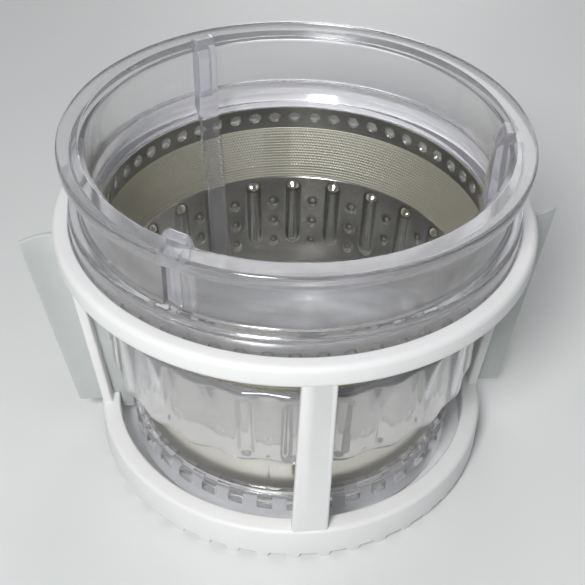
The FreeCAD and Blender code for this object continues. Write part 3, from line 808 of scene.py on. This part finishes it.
class STRAINER_OT_sleeve(bpy.types.Operator):
    """Make the stainless sleeve: border, pierced band and fluted band."""
    bl_idname = "strainer.sleeve"
    bl_label = "Mesh Sleeve"

    def rolled_grid(self, columns, rows):
        """Flat grid of unit cells that is later rolled into the cone."""
        mesh = bmesh.new()
        bmesh.ops.create_grid(mesh, x_segments=columns, y_segments=rows, size=0.5)
        for vert in mesh.verts:
            vert.co.x = round((vert.co.x + 0.5) * columns)
            vert.co.y = round((vert.co.y + 0.5) * rows)
        return mesh

    def roll(self, mesh, columns, row_height, press):
        """Rolls a grid round the axis; press gives how far the sheet is pushed in at a place."""
        for vert in mesh.verts:
            azimuth = RIB_AZIMUTH + FULL_TURN * vert.co.x / columns
            height = row_height(vert.co.y)
            radius = sleeve_inner(height)
            radius -= press(azimuth, height, radius)
            vert.co = Vector((radius * math.cos(azimuth), radius * math.sin(azimuth), height))
        weld(mesh)

    def pierced_band(self):
        """Staggered holes: every other cell of every other row is left out."""
        sleeve = settings().sleeve
        place = heights()
        columns = 2 * sleeve.mesh_columns
        rows = 2 * sleeve.mesh_rows + 1
        mesh = self.rolled_grid(columns, rows)
        holes = []
        for face in mesh.faces:
            middle = face.calc_center_median()
            column = int(middle.x)
            row = int(middle.y)
            if row % 2 and (column + row // 2) % 2:
                holes.append(face)
        bmesh.ops.delete(mesh, geom=holes, context="FACES")
        step = sleeve.mesh_height / rows
        self.roll(mesh, columns, lambda row: place.mesh_bottom + row * step, lambda *where: 0.0)
        return mesh

    def press_depth(self, azimuth, height, radius):
        """How far the fluted band is pressed in at a place."""
        sleeve = settings().sleeve
        press_radius = (sleeve.flute_width ** 2 / 4 + sleeve.flute_depth ** 2) / (2 * sleeve.flute_depth)
        mesh_bottom = heights().mesh_bottom
        head = mesh_bottom - sleeve.flute_top_drop - press_radius
        tail = mesh_bottom - sleeve.flute_top_drop - sleeve.flute_length + press_radius
        pitch = FULL_TURN / FLUTE_PLACES
        along = (azimuth - RIB_AZIMUTH) / pitch
        nearest = round(along)
        across = (along - nearest) * pitch * radius
        depth = 0.0
        if nearest % FLUTES_PER_RIB:
            off_axis = math.hypot(across, max(height - head, tail - height, 0.0))
            if off_axis < press_radius:
                depth = math.sqrt(press_radius ** 2 - off_axis ** 2) - (press_radius - sleeve.flute_depth)
        between = (along - math.floor(along) - 0.5) * pitch * radius
        for row in range(DIMPLE_ROWS):
            centre = mesh_bottom - sleeve.dimple_top_drop - row * sleeve.dimple_pitch
            off_centre = math.hypot(between, height - centre) / sleeve.dimple_radius
            depth = max(depth, sleeve.dimple_depth * math.exp(-DIMPLE_FALL * off_centre ** 2))
        if height < tail - press_radius and abs(azimuth - SEAM_AZIMUTH) * radius < sleeve.seam_depth:
            depth = sleeve.seam_depth
        return max(depth, 0.0)

    def fluted_band(self):
        """Pressed flutes between the ribs, with dimples between the flutes."""
        mesh_bottom = heights().mesh_bottom
        columns = FLUTE_PLACES * FLUTE_COLUMNS
        mesh = self.rolled_grid(columns, FLUTE_ROWS)
        step = (mesh_bottom - SLEEVE_BOTTOM) / FLUTE_ROWS
        self.roll(mesh, columns, lambda row: SLEEVE_BOTTOM + row * step, self.press_depth)
        return mesh

    def border(self):
        """Plain border ring."""
        sleeve = settings().sleeve
        corners = plain_corners(sleeve.top_radius, sleeve.top_radius + sleeve.sheet,
                                heights().border_bottom, SLEEVE_TOP)
        return spun_ring(corners)

    def stud_hole(self):
        """Cutter for one stud hole at azimuth 0, well past both faces of the sheet."""
        sleeve = settings().sleeve
        past = 3 * sleeve.sheet
        radius = settings().collar.stud_radius + FIT_GAP
        return radial_pin(sleeve.top_radius - past, sleeve.top_radius + past, radius)

    def thicken(self, piece):
        """Gives a rolled surface the sheet's thickness, outwards."""
        modifier = piece.modifiers.new("sheet", "SOLIDIFY")
        modifier.thickness = settings().sleeve.sheet
        modifier.offset = 1.0

    def execute(self, context):
        border = new_object("sleeve_border", self.border(), shared_material(rolled_stainless))
        combine(border, repeated(self.stud_hole(), azimuths(STUD_COUNT, STUD_AZIMUTH)), "DIFFERENCE")
        dress(border, "strainer", "stainless", "mesh_sleeve")
        # The pierced band gets the darker, yellower tint of painted shade
        for name, shape, finish in (("sleeve_mesh", self.pierced_band(), etched_stainless_painted_shade),
                                    ("sleeve_flutes", self.fluted_band(), rolled_stainless)):
            piece = new_object(name, shape, shared_material(finish))
            dress(piece, "strainer", "stainless", "mesh_sleeve", sharp_angle=60.0)
            self.thicken(piece)
        return {"FINISHED"}


class STRAINER_OT_band(bpy.types.Operator):
    """Make the clear band round the flutes."""
    bl_idname = "strainer.band"
    bl_label = "Clear Band"

    def execute(self, context):
        inner = radii().band_inner
        outer = radii().band_outer
        band = settings().band
        shape = spun_ring([
            (inner, BAND_TOP, 0.2 * MM),
            (outer, BAND_TOP, band.shoulder),
            (outer, BAND_BOTTOM, band.rounding),
            (inner, BAND_BOTTOM, 0.3 * MM),
        ], steps=WAVE_STEPS * FLUTE_PLACES, segments=6)
        for vert in shape.verts:
            reach = vert.co.xy.length
            azimuth = math.atan2(vert.co.y, vert.co.x) - RIB_AZIMUTH
            trough = 0.5 - 0.5 * math.cos(FLUTE_PLACES * azimuth)
            out = max((reach - inner) / (outer - inner), 0.0)
            down = (BAND_TOP - vert.co.z) / (BAND_TOP - BAND_BOTTOM)
            vert.co.xy *= 1 - out * band.wave * trough / reach
            vert.co.z += down * band.scallop * trough
        piece = new_object("flute_band", shape, shared_material(thin_polycarbonate))
        dress(piece, "strainer", "clear_plastic", "clear_band")
        return {"FINISHED"}


class STRAINER_OT_base(bpy.types.Operator):
    """Make the clear base with its slotted foot."""
    bl_idname = "strainer.base"
    bl_label = "Clear Base"

    def execute(self, context):
        base = settings().base
        radius = radii()
        foot_top = heights().foot_top
        floor_bottom = foot_top - base.floor
        boss = base.bore_radius + base.boss_wall
        piece = new_object("clear_base", spun_ring([
            (radius.base_outer, BASE_TOP, 0.6 * MM),
            (radius.base_outer, foot_top, 0.5 * MM),
            (radius.foot_outer, foot_top, 0.6 * MM),
            (radius.foot_outer, BASE_BOTTOM, 0.4 * MM),
            (radius.foot_outer - base.foot_wall, BASE_BOTTOM, 0.4 * MM),
            (radius.foot_outer - base.foot_wall, floor_bottom, 0.5 * MM),
            (boss, floor_bottom, 0.5 * MM),
            (boss, floor_bottom - base.boss_below, 0.4 * MM),
            (base.bore_radius, floor_bottom - base.boss_below, 0.4 * MM),
            (base.bore_radius, foot_top + base.boss_above, 0.4 * MM),
            (boss, foot_top + base.boss_above, 0.8 * MM),
            (boss, foot_top, 0.8 * MM),
            (radius.base_inner, foot_top, 1.2 * MM),
            (radius.base_inner, BASE_TOP, 0.6 * MM),
        ]), shared_material(thin_polycarbonate))
        slot_bottom = BASE_BOTTOM + base.slot_lift
        slot = spun_block(plain_corners(radius.foot_outer - 2 * base.foot_wall,
                                        radius.foot_outer + base.foot_wall,
                                        slot_bottom, slot_bottom + base.slot_height),
                          base.slot_width / radius.foot_outer, 0.0, steps=3)
        combine(piece, repeated(slot, azimuths(FOOT_SLOT_COUNT, FOOT_SLOT_AZIMUTH)), "DIFFERENCE")
        port = plain_corners(base.port_inner, base.port_outer, foot_top - 2 * base.floor,
                             foot_top + base.floor)
        combine(piece, spun_block(port, PORT_SPAN, PORT_AZIMUTH, steps=PORT_STEPS), "DIFFERENCE")
        dress(piece, "strainer", "clear_plastic", "base_cup")
        return {"FINISHED"}


class STRAINER_OT_frame(bpy.types.Operator):
    """Make the white frame: ring, struts, flange and crown teeth."""
    bl_idname = "strainer.frame"
    bl_label = "Wiper Frame"

    def ring(self):
        """Upper ring with its seat."""
        place = heights()
        radius = radii()
        return spun_ring([
            (radius.ring_inner, RING_TOP, 0.6 * MM),
            (radius.ring_outer, RING_TOP, 1.6 * MM),
            (radius.ring_outer, place.ring_bottom, 1.6 * MM),
            (radius.lip_inner, place.ring_bottom, 0.4 * MM),
            (radius.lip_inner, place.lip_top, 0.4 * MM),
            (radius.ring_inner, place.lip_top, 0),
        ], segments=6)

    def flange(self):
        """Lower flange."""
        place = heights()
        radius = radii()
        return spun_ring([
            (radius.flange_inner, place.flange_top, 0.8 * MM),
            (radius.flange_outer, place.flange_top, 1.2 * MM),
            (radius.flange_outer, place.flange_bottom, 0.4 * MM),
            (radius.flange_inner, place.flange_bottom, 0.4 * MM),
        ])

    def strut(self):
        """One strut at azimuth 0."""
        carrier = settings().carrier
        place = heights()
        lower = place.flange_top - carrier.flange_height / 2
        upper = place.ring_bottom + carrier.lip_thickness / 2
        sections = []
        for height, width in ((lower, carrier.strut_foot), (upper, carrier.strut_top)):
            sections.append((strut_outer(height) - carrier.strut_thickness, strut_outer(height), width))
        return tapered_block(*sections, lower, upper, carrier.strut_rounding)

    def tooth(self):
        """One crown tooth at azimuth 0."""
        carrier = settings().carrier
        outer = radii().flange_outer - carrier.tooth_inset
        inner = outer - carrier.tooth_length
        # Half a tooth's height is inside the flange
        root = 1.5 * carrier.tooth_height
        grow = (carrier.tooth_root - carrier.tooth_tip) / carrier.tooth_height
        return tapered_block((inner, outer, carrier.tooth_tip),
                             (inner, outer, carrier.tooth_tip + grow * root),
                             0.0, root, carrier.tooth_rounding)

    def wiper_slot(self):
        """Cutter for the slot of one wiper at azimuth 0."""
        carrier = settings().carrier
        radius = radii()
        bottom = heights().flange_top + carrier.slot_margin
        top = heights().inner_blade_top - carrier.slot_margin
        section = (radius.flange_inner, radius.ring_outer, carrier.wiper_thickness + 2 * FIT_GAP)
        return tapered_block(section, section, bottom, top)

    def execute(self, context):
        piece = new_object("white_frame", self.ring(), shared_material(moulded_white_plastic))
        combine(piece, self.flange(), "UNION")
        combine(piece, repeated(self.tooth(), azimuths(TOOTH_COUNT, STRUT_AZIMUTH)), "UNION")
        combine(piece, repeated(self.strut(), azimuths(STRUT_COUNT, STRUT_AZIMUTH)), "UNION")
        combine(piece, repeated(self.wiper_slot(), azimuths(WIPER_COUNT, STRUT_AZIMUTH)), "DIFFERENCE")
        dress(piece, "wiper_carrier", "white_plastic", "wiper_frame")
        return {"FINISHED"}


class STRAINER_OT_wipers(bpy.types.Operator):
    """Make the two silicone wipers."""
    bl_idname = "strainer.wipers"
    bl_label = "Silicone Wipers"

    def outline(self):
        """Corners of a wiper: outer blade, web through the strut and inner blade."""
        carrier = settings().carrier
        sleeve = settings().sleeve
        place = heights()
        radius = radii()
        inner_top = place.inner_blade_top
        foot = place.flange_top - carrier.wiper_foot_drop
        step = place.flange_top + FIT_GAP
        web_bottom = place.flange_top + carrier.slot_margin + FIT_GAP
        web_top = inner_top - carrier.slot_margin - FIT_GAP
        band_clear = radius.band_outer + WIPE_GAP
        under_band = BAND_BOTTOM - WIPE_GAP

        def outer_root(height):
            return strut_outer(height) + FIT_GAP

        def inner_root(height):
            return strut_outer(height) - carrier.strut_thickness - FIT_GAP

        return [
            (radius.flange_outer + FIT_GAP, foot),
            (carrier.wiper_foot_radius, foot),
            (carrier.wiper_top_radius, WIPER_TOP),
            (outer_root(WIPER_TOP), WIPER_TOP),
            (outer_root(web_top), web_top),
            (inner_root(web_top), web_top),
            (inner_root(inner_top), inner_top),
            (radius.skirt_outer + WIPE_GAP, inner_top),
            (band_clear, BAND_TOP),
            (band_clear, under_band),
            (sleeve_inner(under_band) + sleeve.sheet + WIPE_GAP, under_band),
            (radius.foot_outer + WIPE_GAP, place.foot_top),
            (radius.foot_outer + WIPE_GAP, INNER_BLADE_FOOT),
            (radius.flange_inner - FIT_GAP, INNER_BLADE_FOOT),
            (radius.flange_inner - FIT_GAP, step),
            (inner_root(step), step),
            (inner_root(web_bottom), web_bottom),
            (outer_root(web_bottom), web_bottom),
            (outer_root(step), step),
            (radius.flange_outer + FIT_GAP, step),
        ]

    def lean(self, shape):
        """Bends the free edge of the outer blade sideways, most at its top, as soft silicone hangs."""
        carrier = settings().carrier
        foot = heights().flange_top - carrier.wiper_foot_drop
        tall = WIPER_TOP - foot
        root = strut_outer(foot)
        for step in range(1, BLADE_STEPS):
            share = step / BLADE_STEPS
            cut_faces(shape, (root + (carrier.wiper_top_radius - root) * share, 0, 0), (1, 0, 0))
            cut_faces(shape, (0, 0, foot + tall * share), (0, 0, 1))
        for vert in shape.verts:
            up = max((vert.co.z - foot) / tall, 0.0)
            tip = carrier.wiper_foot_radius + up * (carrier.wiper_top_radius - carrier.wiper_foot_radius)
            start = strut_outer(vert.co.z)
            out = max((vert.co.x - start) / (tip - start), 0.0)
            vert.co.y += carrier.wiper_lean * up * out ** 2

    def execute(self, context):
        carrier = settings().carrier
        for side, azimuth in zip(("right", "left"), azimuths(WIPER_COUNT, STRUT_AZIMUTH)):
            shape = plate(self.outline(), carrier.wiper_thickness, carrier.wiper_rounding)
            self.lean(shape)
            turn(shape, azimuth)
            piece = new_object("silicone_wiper_" + side, shape, shared_material(translucent_silicone))
            dress(piece, "wiper_carrier", "silicone", "wiper_" + side)
        return {"FINISHED"}


class STRAINER_OT_stage(bpy.types.Operator):
    """Make the floor, the light and the camera."""
    bl_idname = "strainer.stage"
    bl_label = "Stage"

    # Camera fitted to the photograph: picture of 585 pixels a side, lengths in millimetres
    picture_side = 585
    focal_pixels = 1100.0
    camera_back = 238.43
    camera_above_rim = 144.56
    look_down = math.radians(39.741)
    look_aside = math.radians(-0.058)
    roll = math.radians(1.324)
    sensor = 36.0
    near_clip = 10.0

    # Lamps: name, place and width in metres, and watts
    lamps = (
        ("key_left", (-0.11, -0.38, 0.42), 0.14, 2.45),
        ("top_back", (0.12, 0.42, 0.58), 0.50, 1.0),
        ("low_back", (0.04, 0.80, 0.13), 0.30, 1.2),
    )
    lamp_aim = (0.0, 0.0, 0.06)

    # Floor's reach in metres, and the surroundings
    floor_reach = 4.0
    surround_colour = "#8f9193"
    surround_strength = 0.6

    def floor(self):
        """Plain pale floor under the teeth."""
        mesh = bmesh.new()
        bmesh.ops.create_grid(mesh, x_segments=2, y_segments=2, size=self.floor_reach)
        piece = new_object("floor", mesh, pale_floor())

    def lamp(self, name, place, width, watts):
        """Round soft light on the object, which the camera doesn't see, even through the plastic."""
        light = bpy.data.lights.new(name, "AREA")
        light.shape = "DISK"
        light.size = width
        light.energy = watts
        holder = bpy.data.objects.new(name, light)
        holder.location = place
        aim = Vector(self.lamp_aim) - Vector(place)
        holder.rotation_euler = aim.to_track_quat("-Z", "Y").to_euler()
        holder.visible_camera = False
        holder.visible_transmission = False
        bpy.context.scene.collection.objects.link(holder)

    def camera(self):
        """Camera at the photograph's viewing angle."""
        eye = Vector((0.0, -self.camera_back * MM, heights().rim_top + self.camera_above_rim * MM))
        ahead = Vector((math.sin(self.look_aside) * math.cos(self.look_down),
                        math.cos(self.look_aside) * math.cos(self.look_down),
                        -math.sin(self.look_down)))
        level = Vector((math.cos(self.look_aside), -math.sin(self.look_aside), 0.0))
        up = level.cross(ahead)
        right = math.cos(self.roll) * level + math.sin(self.roll) * up
        top = right.cross(ahead)
        data = bpy.data.cameras.new("photo_camera")
        data.sensor_width = self.sensor
        data.lens = self.sensor * self.focal_pixels / self.picture_side
        data.clip_start = self.near_clip * MM
        holder = bpy.data.objects.new("photo_camera", data)
        holder.matrix_world = Matrix.Translation(eye) @ Matrix((right, top, -ahead)).transposed().to_4x4()
        bpy.context.scene.collection.objects.link(holder)
        bpy.context.scene.camera = holder

    def world(self):
        """Even grey surroundings."""
        world = bpy.data.worlds.new("studio")
        world.use_nodes = True
        tree = world.node_tree
        tree.nodes.clear()
        surround = add_node(tree, "ShaderNodeBackground", {
            "Color": linear(self.surround_colour), "Strength": self.surround_strength})
        add_node(tree, "ShaderNodeOutputWorld", {"Surface": surround.outputs["Background"]})
        bpy.context.scene.world = world

    def execute(self, context):
        self.floor()
        for lamp in self.lamps:
            self.lamp(*lamp)
        self.camera()
        self.world()
        context.scene.view_settings.view_transform = "Standard"
        return {"FINISHED"}


PIECE_OPERATORS = (
    STRAINER_OT_collar,
    STRAINER_OT_sleeve,
    STRAINER_OT_band,
    STRAINER_OT_base,
    STRAINER_OT_frame,
    STRAINER_OT_wipers,
    STRAINER_OT_stage,
)


class STRAINER_PT_sidebar(bpy.types.Panel):
    """Buttons for the pieces and their sizes and colours."""
    bl_idname = "STRAINER_PT_sidebar"
    bl_label = "Juicer Strainer"
    bl_space_type = "VIEW_3D"
    bl_region_type = "UI"
    bl_category = "Strainer"

    def draw(self, context):
        layout = self.layout
        for operator in PIECE_OPERATORS:
            layout.operator(operator.bl_idname)
        strainer = context.scene.strainer
        for group in (strainer.collar, strainer.sleeve, strainer.band, strainer.base, strainer.carrier,
                      strainer.finishes):
            box = layout.box()
            for name in group.__annotations__:
                box.prop(group, name)


CLASSES = (
    CollarSizes,
    SleeveSizes,
    BandSizes,
    BaseSizes,
    CarrierSizes,
    Finishes,
    Strainer,
    *PIECE_OPERATORS,
    STRAINER_PT_sidebar,
)


def register():
    """Registers the classes and the scene's settings."""
    for cls in CLASSES:
        bpy.utils.register_class(cls)
    bpy.types.Scene.strainer = PointerProperty(type=Strainer)


def unregister():
    """Takes the classes and the settings out again."""
    del bpy.types.Scene.strainer
    for cls in reversed(CLASSES):
        bpy.utils.unregister_class(cls)


def main():
    """Makes every piece in order."""
    register()
    bpy.ops.strainer.collar()
    bpy.ops.strainer.sleeve()
    bpy.ops.strainer.band()
    bpy.ops.strainer.base()
    bpy.ops.strainer.frame()
    bpy.ops.strainer.wipers()
    bpy.ops.strainer.stage()


if __name__ == "__main__":
    main()
